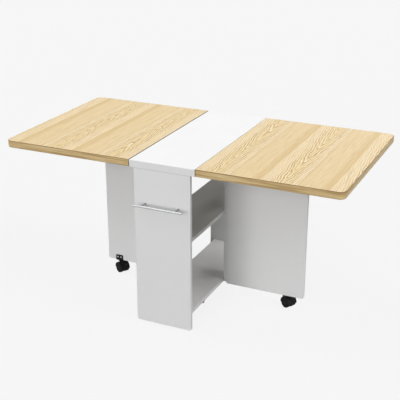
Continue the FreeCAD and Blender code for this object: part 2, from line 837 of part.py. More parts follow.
def build_table():
    """Every node of the table, by name."""
    nodes = {}
    leaf_origins = leaf_hinge_origins()
    gate_origins = gate_hinge_origins()
    leaf_fixed, leaf_moving, leaf_pins = build_hinges(
        leaf_origins, leaf_hinge_length, leaf_hinge_screws, (-X, Z), (X, Z), Y)
    gate_fixed, gate_moving, gate_pins = build_hinges(
        gate_origins, gate_hinge_length, gate_hinge_screws, (Y, -X), (X, -Y), Z)
    leaf_pockets = [barrel_pocket(leaf_hinge_length, o, Y) for o in leaf_origins]
    gate_pockets = [barrel_pocket(gate_hinge_length, o, Z) for o in gate_origins]

    angle_outlines, angle_screws = pan_screws(post_angle_screw_places())
    plate_places = []
    for name, x, y, heading in cabinet_casters():
        plate_places += cabinet_plate_screw_places(x, y)
    plate_outlines, plate_screws = pan_screws(plate_places)
    bracket_outlines, bracket_screws = pan_screws(gate_bracket_screw_places())
    pegs = dowels()
    side_outlines = leaf_fixed[1] + gate_fixed[1] + angle_outlines
    holes = pegs + cam_holes() + with_half_turn(side_outlines + leaf_pockets + gate_pockets)
    holes += plate_outlines + handle_screw_holes()
    cabinet_holes = group(holes)

    # Fixed boards.
    nodes["centre_top"] = centre_top_board().cut(cabinet_holes)
    nodes["front_end_panel"] = end_panel_board(-1).cut(cabinet_holes)
    nodes["rear_end_panel"] = end_panel_board(1).cut(cabinet_holes)
    nodes["middle_shelf"] = shelf_board(middle_shelf_bottom).cut(cabinet_holes)
    nodes["bottom_shelf"] = shelf_board(caster_height).cut(cabinet_holes)
    nodes["right_hinge_post"] = post_board().cut(cabinet_holes)
    nodes["left_hinge_post"] = half_turn(post_board()).cut(cabinet_holes)

    # Handle and the fasteners inside the cabinet.
    nodes["handle_bar"] = handle_bar()
    nodes["handle_standoffs"] = group(handle_standoffs())
    nodes["handle_screws"] = group(handle_screws())
    nodes["cam_housings"] = group(cam_housings())
    nodes["cam_bolts"] = group(cam_bolts())
    nodes["dowels"] = group(pegs)
    nodes["post_angle_brackets"] = group(with_half_turn([post_angle().cut(group(angle_outlines))]))
    side_screws = leaf_fixed[2] + gate_fixed[2] + angle_screws
    nodes["cabinet_screws"] = group(with_half_turn(side_screws) + plate_screws)

    # Fixed hinge halves.
    nodes["leaf_hinge_fixed_plates"] = group(with_half_turn(leaf_fixed[0]))
    nodes["leaf_hinge_pins"] = group(with_half_turn(leaf_pins))
    nodes["gate_hinge_fixed_plates"] = group(with_half_turn(gate_fixed[0]))
    nodes["gate_hinge_pins"] = group(with_half_turn(gate_pins))

    # Casters under the lower shelf.
    plates = []
    for name, x, y, heading in cabinet_casters():
        plates.append(cabinet_plate(x, y).cut(group(plate_outlines)))
        plates.append(at_caster(kingpin(), x, y, 0))
        nodes[name + "_caster_body"] = at_caster(caster_body(False), x, y, heading)
        nodes[name + "_caster_axle"] = at_caster(caster_axle(), x, y, heading)
        nodes[name + "_caster_wheels"] = at_caster(caster_wheels(), x, y, heading)
    nodes["cabinet_caster_plates"] = group(plates)

    # One side's leaf, gate and gate caster; the other side is the same after half a turn.
    leaf = whole_leaf().cut(group(leaf_pockets + leaf_moving[1]))
    core = leaf_outline(band_thickness)
    gate_holes = group(gate_pockets + gate_moving[1] + bracket_outlines + [glide_peg()])
    gate_kingpin = at_caster(kingpin(), gate_caster_x, gate_middle_y, 0)
    side_nodes = {
        "leaf_board": leaf.common(core),
        "leaf_edge_band": leaf.cut(core),
        "leaf_hinge_plates": group(leaf_moving[0]),
        "leaf_hinge_screws": group(leaf_moving[2]),
        "gate_panel": gate_board().cut(gate_holes),
        "gate_hinge_plates": group(gate_moving[0]),
        "gate_hinge_screws": group(gate_moving[2]),
        "gate_glide": gate_glide(),
        "gate_caster_bracket": group([gate_bracket().cut(group(bracket_outlines)), gate_kingpin]),
        "gate_bracket_screws": group(bracket_screws),
        "gate_caster_body": gate_caster(caster_body(True)),
        "gate_caster_axle": gate_caster(caster_axle()),
        "gate_caster_wheels": gate_caster(caster_wheels()),
        "gate_brake_lever": gate_caster(brake_lever()),
    }
    for name, shape in side_nodes.items():
        nodes["right_" + name] = shape
        nodes["left_" + name] = half_turn(shape)
    return nodes


def main():
    """Build the table and write one STEP file for each node."""
    os.makedirs("parts", exist_ok=True)
    for name, shape in build_table().items():
        moved = shape.copy()
        moved.translate(origin_shift)
        moved.exportStep("parts/" + name + ".step")
        print(name, len(moved.Solids), round(moved.Volume), moved.isValid())


main()
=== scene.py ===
"""Looks of the folding kitchen table on casters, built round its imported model.

The construction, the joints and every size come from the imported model. This script gives each
piece its real surface, adds the moulded detail of the caster wheels and brake levers, and sets
the table on a pale floor in soft light. Places are in metres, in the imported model's own frame:
X runs from leaf end to leaf end, Y from the handle's end to the far end, and Z is up.
"""

import json
import logging
import math
from collections.abc import Sequence
from dataclasses import dataclass
from enum import Enum
from typing import Any

import bmesh
import bpy
from mathutils import Matrix, Vector


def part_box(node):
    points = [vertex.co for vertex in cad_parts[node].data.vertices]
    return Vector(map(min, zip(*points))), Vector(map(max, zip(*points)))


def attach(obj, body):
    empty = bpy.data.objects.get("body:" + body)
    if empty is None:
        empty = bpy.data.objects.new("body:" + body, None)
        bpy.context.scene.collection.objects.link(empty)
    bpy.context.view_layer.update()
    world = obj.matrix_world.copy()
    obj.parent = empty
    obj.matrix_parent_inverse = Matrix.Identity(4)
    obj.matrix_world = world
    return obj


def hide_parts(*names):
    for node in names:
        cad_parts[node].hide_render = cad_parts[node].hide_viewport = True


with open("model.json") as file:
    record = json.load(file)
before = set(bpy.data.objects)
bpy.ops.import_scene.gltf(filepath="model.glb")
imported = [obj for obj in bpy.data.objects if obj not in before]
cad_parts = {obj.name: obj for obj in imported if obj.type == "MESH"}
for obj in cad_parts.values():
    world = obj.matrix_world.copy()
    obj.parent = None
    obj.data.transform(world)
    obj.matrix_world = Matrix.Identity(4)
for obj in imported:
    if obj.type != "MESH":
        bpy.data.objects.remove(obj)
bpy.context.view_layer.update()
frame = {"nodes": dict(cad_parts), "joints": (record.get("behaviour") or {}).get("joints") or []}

log = logging.getLogger("kitchen_table")

MM = 0.001
SMOOTH_ANGLE = math.radians(32)
NEAR = 0.01                       # mm, places closer than this are the same
TOUCHING = 0.0001                 # mm, points closer than this are one
FAR = 1000.0                      # mm, beyond any board
NOISE_MIDDLE = 0.5
NOISE_RANGE = (0.3, 0.7)          # what a noise mostly keeps to
BROAD = 1.0                       # a noise's detail, from broad clouds to the finest grain
MEDIUM = 2.0
FINE = 3.0
FINEST = 4.0
RAMP_START = 2                    # stops that a new colour ramp already has
ARC = 0.5                         # a bevel's profile for a round edge
RIB_SEGMENTS = 2
BLACK = "#000000"
WHITE = "#FFFFFF"


class Axis(Enum):
    """The direction across a board's thickness."""

    X = 0
    Y = 1
    Z = 2


class Side(Enum):
    """One of the table's two leaf sides."""

    RIGHT = "right"
    LEFT = "left"

    @property
    def turn(self) -> float:
        """How far this side is turned about Z from the left one."""
        return math.pi if self is Side.RIGHT else 0.0


class Corner(Enum):
    """One of the four casters under the cabinet."""

    FRONT_RIGHT = "front_right"
    REAR_RIGHT = "rear_right"
    REAR_LEFT = "rear_left"
    FRONT_LEFT = "front_left"


def linear(colour: str) -> tuple[float, float, float, float]:
    """Turns an sRGB hex colour into the linear one that a shader takes.

    Args:
        colour: The colour as "#RRGGBB".

    Returns:
        Red, green, blue and an alpha of one.
    """
    parts = [int(colour[i:i + 2], 16) / 255 for i in (1, 3, 5)]
    red, green, blue = (c / 12.92 if c <= 0.04045 else ((c + 0.055) / 1.055) ** 2.4 for c in parts)
    return red, green, blue, 1.0


# ------------------------------------------------------------------------------------ node trees


class Graph:
    """A node tree with one way of adding to it."""

    def __init__(self, tree: bpy.types.NodeTree) -> None:
        """Empties the tree."""
        self.tree = tree
        tree.nodes.clear()

    def add(self, kind: str, *values: Any, out: int | str = 0,
            stops: Sequence[tuple[float, str]] = (), **settings: Any) -> bpy.types.NodeSocket | None:
        """Adds one node with its settings, values and links.

        Args:
            kind: Blender's name for the node, without "ShaderNode".
            values: What goes in the inputs in use, in order: sockets, numbers, vectors or hex
                colours. None leaves an input as it is.
            out: The output to return: its place among those in use, or its name.
            stops: A colour ramp's positions and hex colours, first and last stop first.
            settings: The node's own properties, and its inputs by their capitalised names.

        Returns:
            The chosen output, or None for a node that has none.
        """
        node = self.tree.nodes.new("ShaderNode" + kind)
        named = {}
        for name, value in settings.items():
            if name[0].isupper():
                named[name.replace("_", " ")] = value
            else:
                setattr(node, name, value)
        for i, (position, colour) in enumerate(stops):
            elements = node.color_ramp.elements
            element = elements[i] if i < RAMP_START else elements.new(position)
            element.position = position
            element.color = linear(colour)
        used = [socket for socket in node.inputs if socket.enabled]
        filled = [*zip(used, values), *((node.inputs[name], value) for name, value in named.items())]
        for socket, value in filled:
            if isinstance(value, bpy.types.NodeSocket):
                self.tree.links.new(value, socket)
            elif value is not None:
                socket.default_value = linear(value) if isinstance(value, str) else value
        if isinstance(out, str):
            return node.outputs[out]
        given = [socket for socket in node.outputs if socket.enabled]
        return given[out] if given else None


class Surface(Graph):
    """A new material's node tree."""

    def __init__(self, name: str) -> None:
        """Starts an empty material of that name."""
        self.material = bpy.data.materials.new(name)
        self.material.use_nodes = True
        super().__init__(self.material.node_tree)

    def place(self, origin: Vector | None = None, turn: float = 0.0) -> bpy.types.NodeSocket:
        """Gives Object coordinates in millimetres.

        Args:
            origin: The point that they start from, in metres.
            turn: How far they are turned about Z.

        Returns:
            The coordinates' socket.
        """
        start = Matrix.Rotation(turn, 3, "Z") @ ((origin or Vector()) / -MM)
        coordinates = self.add("TexCoord", out="Object")
        return self.add("Mapping", coordinates, start, (0, 0, turn), (1 / MM,) * 3)

    def close(self, colour: Any, roughness: Any, height: Any, depth: float,
              **sockets: float) -> bpy.types.Material:
        """Ends the tree with its surface.

        Args:
            colour: The base colour, hex or a socket.
            roughness: The roughness, a number or a socket.
            height: The bump's height from 0 to 1.
            depth: The bump's depth in millimetres.
            sockets: The shader's own constant values.

        Returns:
            The material.
        """
        bump = self.add("Bump", Distance=depth * MM, Height=height)
        shader = self.add("BsdfPrincipled", Base_Color=colour, Roughness=roughness, Normal=bump,
                          **sockets)
        self.add("OutputMaterial", shader)
        return self.material


# ------------------------------------------------------------------------------------- finishes


@dataclass(frozen=True)
class Melamine:
    """White melamine-faced particle board, pressed against a fine pearl plate, with ABS bands on
    its edges. The eye gets a bright satin white, barely grained, a hairline round each face where
    it meets the band, and a thin line of painted shade where an upright board meets the top."""

    face: str = "#F1F1F1"
    shade: str = "#ECECEC"
    band: str = "#EFEFEF"
    glue_line: str = "#C9C8C5"
    # painted shade: the shadow in the hairline gap where an upright board meets the top
    joint: str = "#8B8A88"
    band_thickness: float = 1.0   # mm
    line_width: float = 0.35      # mm; a real glue line is 0.1, too fine to show
    joint_shade_width: float = 1.2      # mm
    pearl_size: float = 0.9       # mm; the real pearl is 0.3, too fine to show
    pearl_depth: float = 0.02
    cloud_size: float = 240.0     # mm, slow change of tone in the paper
    gloss: tuple[float, float] = (0.5, 0.58)
    ior: float = 1.55
    shine: float = 0.12           # the shader's specular level; fine pearl scatters most of it

    def material(self, node: str, thin: Axis, corner: float, joined: bool) -> bpy.types.Material:
        """Makes one board's material.

        Args:
            node: The board's CAD node.
            thin: The way across its thickness.
            corner: Its corners' radius in millimetres.
            joined: Whether its upper edge meets the table top.

        Returns:
            The material.
        """
        low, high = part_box(node)
        surface = Surface(f"white_melamine_{node}")
        add = surface.add
        place = surface.place((low + high) / 2)
        half = [size / 2 / MM - corner for size in high - low]
        half[thin.value] = FAR
        sides = add("VectorMath", place, operation="ABSOLUTE")
        inside = add("VectorMath", sides, half, operation="SUBTRACT")
        beyond = add("VectorMath", inside, (0, 0, 0), operation="MAXIMUM")
        reach = add("VectorMath", beyond, operation="LENGTH")
        x, y, z = (add("SeparateXYZ", inside, out=axis.value) for axis in Axis)
        nearest = add("Math", x, add("Math", y, z, operation="MAXIMUM"), operation="MAXIMUM")
        nearest = add("Math", nearest, 0.0, operation="MINIMUM")
        outline = add("Math", reach, nearest, operation="ADD")
        edge = add("Math", outline, corner - self.band_thickness, operation="SUBTRACT")
        on_band = add("Math", edge, 0.0, operation="GREATER_THAN")
        from_edge = add("Math", edge, operation="ABSOLUTE")
        line = add("MapRange", from_edge, 0.0, self.line_width, 1.0, 0.0)

        cloud_place = add("VectorMath", place, (self.cloud_size,) * 3, operation="DIVIDE")
        cloud = add("TexNoise", cloud_place, Scale=1.0)
        pearl_place = add("VectorMath", place, (self.pearl_size,) * 3, operation="DIVIDE")
        pearl = add("TexNoise", pearl_place, Scale=1.0, Detail=FINE)
        colour = add("Mix", cloud, self.face, self.shade, data_type="RGBA")
        colour = add("Mix", on_band, colour, self.band, data_type="RGBA")
        colour = add("Mix", line, colour, self.glue_line, data_type="RGBA")
        # Painted shade along the upper edge, standing for the shadow in the gap under the top.
        if joined:
            height = add("SeparateXYZ", place, out="Z")
            top = (high.z - low.z) / 2 / MM
            joint_shade_share = add("MapRange", height, top - self.joint_shade_width, top, 0.0, 1.0)
            colour = add("Mix", joint_shade_share, colour, self.joint, data_type="RGBA")
        roughness = add("MapRange", cloud, *NOISE_RANGE, *self.gloss)
        return surface.close(colour, roughness, pearl, self.pearl_depth, IOR=self.ior,
                             Specular_IOR_Level=self.shine)


@dataclass(frozen=True)
class AshLaminate:
    """Light ash laminate with a printed plank pattern and a fine pressed pore. Plain planks with a
    dark yellow streak along one side lie between planks of flat-sawn ash, whose growth rings run
    out in nested arches. The eye gets a pale honey board with soft stripes, crisp figured lines
    between them, and a matte sheen."""

    plain: str = "#E0C89B"
    streak: str = "#D4B884"
    seam: str = "#D6BC8E"
    pale: str = "#E7D2AA"
    figured: str = "#E2C892"
    ring_dark: str = "#8A5A17"
    ring_light: str = "#FFF9E4"
    pore: str = "#B08C55"
    hinge_edge_and_gap_shade: str = "#45433B"   # the narrow side that faces the centre top: a dark edge, darkened further with painted shade of the gap
    hinge_edge_depth: float = 0.2  # mm
    repeat: float = 280.5         # mm, one plain and one figured plank
    first_plank: float = 60.0     # mm from the leaf's outer edge to the first streak
    streak_full: float = 16.0     # mm that the streak keeps its full tone
    streak_width: float = 44.0
    seam_start: float = 118.0     # mm from the streak's start to the seam after the plain plank
    plank_width: float = 131.0
    pale_width: float = 16.0
    figured_start: float = 158.0
    figured_end: float = 226.0
    pale_start: float = 240.0
    seam_step: float = 1.0        # mm over which the seam gives way to the next plank
    heart: float = 190.0          # mm from a plank's start to the arches' middle
    arch_blunt: float = 5.0       # mm, how round the tip of an arch is
    tip_width: float = 12.0       # mm each side of the heart where the rings are fainter
    tip_strength: float = 0.55
    arch_slope: float = 0.12      # how fast the rings run out along the board
    surge: float = 20.0           # mm, crowds the arches in some places and parts them in others
    surge_length: float = 150.0   # mm along the board
    wiggle: float = 15.0          # mm, small bends in each ring
    plank_shift: float = 37.0     # makes each plank's figure its own
    ring_width: float = 10.5      # mm
    dark_line: float = 0.5        # of a ring's width
    light_line: float = 0.4
    line_edge: float = 0.05       # of a ring's width that each line takes to reach its full tone
    least_line: float = 0.5       # the faintest ring's strength
    lines_plain: str = "#2A2A2A"  # how much the rings show in each stripe, from black to white
    lines_seam: str = "#4A4A4A"
    lines_pale: str = "#A8A8A8"
    lines_last: str = "#8A8A8A"
    fade_range: tuple[float, float] = (0.35, 0.6)  # the noise from a faded ring to a full one
    faded_line: float = 0.6
    drift_size: tuple[float, float, float] = (120.0, 330.0, 120.0)
    wiggle_size: tuple[float, float, float] = (18.0, 60.0, 18.0)
    fade_size: tuple[float, float, float] = (30.0, 90.0, 30.0)
    fibre_size: tuple[float, float, float] = (4.5, 110.0, 4.5)
    fibre_full: float = 0.75      # the noise where a fibre is full
    fibre_strength: float = 0.4
    band_size: tuple[float, float, float] = (7.0, 380.0, 7.0)
    band_strength: float = 0.45
    dark_band_full: float = 0.72  # the noise where a dark band is full
    pale_band_full: float = 0.3
    wander: float = 15.0          # mm, how far the grain strays sideways
    pore_size: tuple[float, float, float] = (0.9, 26.0, 0.9)
    pore_range: tuple[float, float] = (0.56, 0.72)  # the noise from a pore's edge to its floor
    pore_share: tuple[float, float] = (0.12, 0.37)  # its tone beside the dark lines and in them
    pore_depth: float = 0.05
    gloss: tuple[float, float] = (0.52, 0.64)
    ior: float = 1.5
    shine: float = 0.3            # the shader's specular level; the pressed pore breaks it up

    def material(self, side: Side, outer: Vector, width: float) -> bpy.types.Material:
        """Makes one leaf's laminate.

        Args:
            side: The leaf's side. The two leaves are alike after half a turn.
            outer: The middle of the leaf's outer edge.
            width: The leaf's width in millimetres, from its outer edge to its hinges.

        Returns:
            The material.
        """
        surface = Surface(f"ash_laminate_{side.value}")
        add = surface.add
        place = surface.place(outer, side.turn)
        across = add("SeparateXYZ", place, out="X")
        along = add("SeparateXYZ", place, out="Y")
        drift, wiggle, fade, fibres, bands, pores = (
            add("TexNoise", add("VectorMath", place, size, operation="DIVIDE"), Scale=1.0, Detail=detail)
            for size, detail in (
                (self.drift_size, BROAD), (self.wiggle_size, FINE), (self.fade_size, MEDIUM),
                (self.fibre_size, FINE), (self.band_size, FINE), (self.pore_size, FINE)))
        drift = add("Math", drift, NOISE_MIDDLE, operation="SUBTRACT")
        wiggle = add("Math", wiggle, NOISE_MIDDLE, operation="SUBTRACT")

        # Planks, and the soft tone of each stripe.
        shifted = add("Math", across, self.first_plank, operation="SUBTRACT")
        plank = add("Math", add("Math", shifted, self.repeat, operation="DIVIDE"), operation="FLOOR")
        strayed = add("Math", drift, self.wander, across, operation="MULTIPLY_ADD")
        share = add("Math", add("Math", shifted, self.repeat, operation="FLOORED_MODULO"), self.repeat,
                    operation="DIVIDE")
        tone = add("ValToRGB", share, stops=[(place_mm / self.repeat, colour) for place_mm, colour in (
            (0.0, self.streak), (self.repeat, self.pale), (self.streak_full, self.streak),
            (self.streak_width, self.plain), (self.seam_start, self.plain),
            (self.plank_width - self.seam_step, self.seam), (self.plank_width, self.pale),
            (self.plank_width + self.pale_width, self.pale), (self.figured_start, self.figured),
            (self.figured_end, self.figured), (self.pale_start, self.pale))])
        darker = add("MapRange", bands, NOISE_MIDDLE, self.dark_band_full, 0.0, self.band_strength)
        colour = add("Mix", darker, tone, self.streak, data_type="RGBA")
        paler = add("MapRange", bands, NOISE_MIDDLE, self.pale_band_full, 0.0, self.band_strength)
        colour = add("Mix", paler, colour, self.pale, data_type="RGBA")

        # Nested arches of growth rings.
        plank_start = add("Math", plank, self.repeat, self.first_plank + self.heart,
                          operation="MULTIPLY_ADD")
        offset = add("Math", strayed, plank_start, operation="SUBTRACT")
        spread = add("Math", offset, offset, self.arch_blunt ** 2, operation="MULTIPLY_ADD")
        spread = add("Math", spread, operation="SQRT")
        run_out = add("Math", along, self.arch_slope, spread, operation="MULTIPLY_ADD")
        own = add("Math", plank, self.plank_shift, operation="MULTIPLY")
        run_out = add("Math", run_out, own, operation="ADD")
        surge_place = add("CombineXYZ", own, add("Math", along, self.surge_length, operation="DIVIDE"))
        surge = add("TexNoise", surge_place, Scale=1.0, Detail=MEDIUM)
        run_out = add("Math", surge, self.surge, run_out, operation="MULTIPLY_ADD")
        run_out = add("Math", wiggle, self.wiggle, run_out, operation="MULTIPLY_ADD")
        rings = add("Math", run_out, self.ring_width, operation="DIVIDE")
        ring = add("Math", rings, operation="FRACT")
        each = add("TexWhiteNoise", add("Math", rings, operation="FLOOR"), noise_dimensions="1D")
        weight = add("MapRange", each, 0.0, 1.0, self.least_line, 1.0)
        zone = add("ValToRGB", share, stops=[(place_mm / self.repeat, grey) for place_mm, grey in (
            (0.0, self.lines_plain), (self.repeat, self.lines_last),
            (self.streak_width, self.lines_plain), (self.plank_width - self.seam_step, self.lines_seam),
            (self.plank_width, self.lines_pale), (self.figured_start, WHITE),
            (self.figured_end, WHITE), (self.pale_start, self.lines_pale))])
        kept = add("MapRange", fade, *self.fade_range, self.faded_line, 1.0)
        strength = add("Math", zone, kept, operation="MULTIPLY")
        strength = add("Math", strength, weight, operation="MULTIPLY")
        tip = add("MapRange", add("Math", offset, operation="ABSOLUTE"), 0.0, self.tip_width,
                  self.tip_strength, 1.0)
        strength = add("Math", strength, tip, operation="MULTIPLY")
        dark = add("ValToRGB", ring, stops=((0.0, BLACK), (1.0, BLACK), (self.line_edge, WHITE),
                                            (self.dark_line, BLACK)))
        dark_share = add("Math", dark, strength, operation="MULTIPLY")
        colour = add("Mix", dark_share, colour, self.ring_dark, data_type="RGBA")
        light = add("ValToRGB", ring, stops=((0.0, BLACK), (1.0, BLACK), (1.0 - self.light_line, BLACK),
                                             (1.0 - self.line_edge, WHITE)))
        light_share = add("Math", light, strength, operation="MULTIPLY")
        colour = add("Mix", light_share, colour, self.ring_light, data_type="RGBA")

        # Long fibres, pressed pores, and the hinge side: a dark edge with painted shade of the gap to
        # the centre top.
        fibre_share = add("MapRange", fibres, NOISE_MIDDLE, self.fibre_full, 0.0, self.fibre_strength)
        colour = add("Mix", fibre_share, colour, self.pore, data_type="RGBA")
        pores = add("MapRange", pores, *self.pore_range, 0.0, 1.0)
        pore_share = add("Math", pores, add("MapRange", dark_share, 0.0, 1.0, *self.pore_share),
                         operation="MULTIPLY")
        colour = add("Mix", pore_share, colour, self.pore, data_type="RGBA")
        # Dark edge colour on the hinge side, with the gap's shadow painted into it.
        on_hinge_edge = add("Math", across, width - self.hinge_edge_depth, operation="GREATER_THAN")
        colour = add("Mix", on_hinge_edge, colour, self.hinge_edge_and_gap_shade, data_type="RGBA")
        roughness = add("MapRange", pores, 0.0, 1.0, *self.gloss)
        height = add("Math", 1.0, pores, operation="SUBTRACT")
        return surface.close(colour, roughness, height, self.pore_depth, IOR=self.ior,
                             Specular_IOR_Level=self.shine)


@dataclass(frozen=True)
class AshEdgeBand:
    """Printed ABS edge band in the laminate's ash, ironed round the leaf. The eye gets a darker
    honey stripe with long level streaks and a brown line of painted shade along its upper edge."""

    ground: str = "#D3B680"
    dark: str = "#B29360"
    light: str = "#DFC696"
    # painted shade of the rounded upper corner
    upper_edge_shade: str = "#7A5C2C"
    line_width: float = 3.0       # mm, how far the painted shade reaches down
    edge_shade_strength: float = 0.95
    streak_size: tuple[float, float, float] = (210.0, 210.0, 7.0)
    dark_streak: float = 0.36     # the noise where a streak is darkest
    light_streak: float = 0.66
    fibre_size: tuple[float, float, float] = (40.0, 40.0, 0.9)
    fibre_full: float = 0.75      # the noise where a fibre is full
    fibre_strength: float = 0.4
    fibre_depth: float = 0.04
    gloss: tuple[float, float] = (0.45, 0.56)
    ior: float = 1.5

    def material(self, side: Side, upper: float) -> bpy.types.Material:
        """Makes one leaf's edge band.

        Args:
            side: The leaf's side.
            upper: The height of the leaf's upper face in metres.

        Returns:
            The material.
        """
        surface = Surface(f"ash_edge_band_{side.value}")
        add = surface.add
        place = surface.place(Vector((0, 0, upper)), side.turn)
        below = add("SeparateXYZ", place, out="Z")
        streaks, fibres = (
            add("TexNoise", add("VectorMath", place, size, operation="DIVIDE"), Scale=1.0, Detail=FINE)
            for size in (self.streak_size, self.fibre_size))
        colour = add("ValToRGB", streaks, stops=(
            (self.dark_streak, self.dark), (self.light_streak, self.light), (NOISE_MIDDLE, self.ground)))
        fibre = add("MapRange", fibres, NOISE_MIDDLE, self.fibre_full, 0.0, self.fibre_strength)
        colour = add("Mix", fibre, colour, self.dark, data_type="RGBA")
        # Painted shade of the rounded upper corner, darkest at the top.
        line = add("MapRange", below, -self.line_width, -self.line_width / 2, 0.0, self.edge_shade_strength)
        colour = add("Mix", line, colour, self.upper_edge_shade, data_type="RGBA")
        roughness = add("MapRange", fibres, *NOISE_RANGE, *self.gloss)
        return surface.close(colour, roughness, fibres, self.fibre_depth, IOR=self.ior)


@dataclass(frozen=True)
class Metal:
    """A bare or plated metal, finished with fine lines or left as cast. The eye gets a soft
    reflection that the lines drag out, and slow clouds of tone in the plating."""

    name: str
    bright: str
    dull: str
    line_size: tuple[float, float, float]
    line_depth: float
    gloss: tuple[float, float]
    cloud_size: float = 9.0
    tone_range: tuple[float, float] = (0.7, 1.3)  # of lines and clouds added, from bright to dull

    def material(self) -> bpy.types.Material:
        """Makes the metal's material."""
        surface = Surface(self.name)
        add = surface.add
        place = surface.place()
        line_place = add("VectorMath", place, self.line_size, operation="DIVIDE")
        lines = add("TexNoise", line_place, Scale=1.0, Detail=FINEST)
        cloud_place = add("VectorMath", place, (self.cloud_size,) * 3, operation="DIVIDE")
        clouds = add("TexNoise", cloud_place, Scale=1.0)
        tone = add("Math", lines, clouds, operation="ADD")
        share = add("MapRange", tone, *self.tone_range, 0.0, 1.0)
        colour = add("Mix", share, self.bright, self.dull, data_type="RGBA")
        roughness = add("MapRange", lines, *NOISE_RANGE, *self.gloss)
        return surface.close(colour, roughness, lines, self.line_depth, Metallic=1.0)


@dataclass(frozen=True)
class Moulded:
    """A moulded or coated skin with a fine even texture. The eye gets a broken highlight from the
    texture and a little dust-grey in scattered clouds."""

    name: str
    colour: str
    worn: str
    texture_size: float
    texture_depth: float
    gloss: tuple[float, float]
    ior: float
    cloud_size: float = 14.0
    worn_range: tuple[float, float] = (0.45, 0.75)  # the noise from a clean spot to a worn one
    wear: float = 0.6
    shine: float = 0.5            # the shader's specular level, 0.5 for a bare skin

    def material(self) -> bpy.types.Material:
        """Makes the skin's material."""
        surface = Surface(self.name)
        add = surface.add
        place = surface.place()
        texture_place = add("VectorMath", place, (self.texture_size,) * 3, operation="DIVIDE")
        texture = add("TexNoise", texture_place, Scale=1.0, Detail=MEDIUM)
        cloud_place = add("VectorMath", place, (self.cloud_size,) * 3, operation="DIVIDE")
        clouds = add("TexNoise", cloud_place, Scale=1.0, Detail=FINEST)
        worn = add("MapRange", clouds, *self.worn_range, 0.0, self.wear)
        colour = add("Mix", worn, self.colour, self.worn, data_type="RGBA")
        roughness = add("MapRange", clouds, *NOISE_RANGE, *self.gloss)
        return surface.close(colour, roughness, texture, self.texture_depth, IOR=self.ior,
                             Specular_IOR_Level=self.shine)


@dataclass(frozen=True)
class Beech:
    """Bare turned beech. The eye gets a pinkish tan with short darker flecks along the grain."""

    ground: str = "#D8B78C"
    fleck: str = "#B58A5C"
    fleck_size: tuple[float, float, float] = (2.6, 0.7, 0.7)
    fleck_full: float = 0.7       # the noise where a fleck is full
    fleck_strength: float = 0.8
    fleck_depth: float = 0.05
    gloss: tuple[float, float] = (0.6, 0.72)
    ior: float = 1.5

    def material(self) -> bpy.types.Material:
        """Makes the wood's material."""
        surface = Surface("bare_beech")
        add = surface.add
        fleck_place = add("VectorMath", surface.place(), self.fleck_size, operation="DIVIDE")
        flecks = add("TexNoise", fleck_place, Scale=1.0, Detail=FINE)
        share = add("MapRange", flecks, NOISE_MIDDLE, self.fleck_full, 0.0, self.fleck_strength)
        colour = add("Mix", share, self.ground, self.fleck, data_type="RGBA")
        roughness = add("MapRange", flecks, *NOISE_RANGE, *self.gloss)
        return surface.close(colour, roughness, flecks, self.fleck_depth, IOR=self.ior)


# Brushed stainless bar: long fine lines along X that smear the reflection across the bar.
BRUSHED_STEEL = Metal(
    "brushed_stainless_bar", bright="#B4B4B5", dull="#9C9C9E", line_size=(34.0, 0.35, 0.35),
    line_depth=0.01, gloss=(0.3, 0.42))
# Zinc-plated pressed steel: blue-white and fairly bright, clouded by the passivation.
ZINC_PLATE = Metal(
    "zinc_plated_steel", bright="#D2D6D9", dull="#B7BBBE", line_size=(2.2, 2.2, 2.2),
    line_depth=0.01, gloss=(0.26, 0.42))
# Die-cast zinc cams: duller and greyer, with a slight cast grain.
CAST_ZINC = Metal(
    "die_cast_zinc", bright="#B5B6B8", dull="#96979A", line_size=(0.8, 0.8, 0.8),
    line_depth=0.03, gloss=(0.4, 0.58))
# Black powder coat on folded steel: satin with a fine orange peel.
POWDER_COAT = Moulded(
    "black_powder_coat", colour="#101010", worn="#1A1A19", texture_size=1.1, texture_depth=0.03,
    gloss=(0.36, 0.48), ior=1.5, shine=0.15)
# Moulded black nylon: matte from the spark-eroded mould, a little grey where it rubs.
BLACK_NYLON = Moulded(
    "moulded_black_nylon", colour="#0C0C0C", worn="#161615", texture_size=0.6, texture_depth=0.03,
    gloss=(0.46, 0.6), ior=1.53, shine=0.12)
# Softer black tread: matte, greyed by floor dust.
BLACK_TREAD = Moulded(
    "moulded_black_tread", colour="#0D0D0D", worn="#1E1D1C", texture_size=0.8, texture_depth=0.05,
    gloss=(0.6, 0.75), ior=1.5, cloud_size=8.0, shine=0.1)
# Natural white nylon: off-white with a waxy sheen.
WHITE_NYLON = Moulded(
    "moulded_white_nylon", colour="#EDEBE3", worn="#E2DFD4", texture_size=0.7, texture_depth=0.02,
    gloss=(0.36, 0.46), ior=1.53)


# ------------------------------------------------------------------------------------ dressing


def dress(material: bpy.types.Material, *nodes: str) -> None:
    """Gives CAD nodes a material.

    Args:
        material: The material.
        nodes: The nodes' names.
    """
    for name in nodes:
        materials = frame["nodes"][name].data.materials
        if materials:
            for i in range(len(materials)):
                materials[i] = material
        else:
            materials.append(material)
        log.info("dressed %s in %s", name, material.name)


def joint(name: str) -> dict[str, Any]:
    """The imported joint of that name."""
    return next(j for j in frame["joints"] if j["name"] == name)


@dataclass
class Hardware:
    """The finishes that the table's fittings share, each made once."""

    steel: bpy.types.Material
    zinc: bpy.types.Material
    cast: bpy.types.Material
    powder: bpy.types.Material
    nylon: bpy.types.Material
    tread: bpy.types.Material
    white_nylon: bpy.types.Material
    beech: bpy.types.Material

    @classmethod
    def made(cls) -> "Hardware":
        """Makes every shared finish."""
        return cls(BRUSHED_STEEL.material(), ZINC_PLATE.material(), CAST_ZINC.material(),
                   POWDER_COAT.material(), BLACK_NYLON.material(), BLACK_TREAD.material(),
                   WHITE_NYLON.material(), Beech().material())


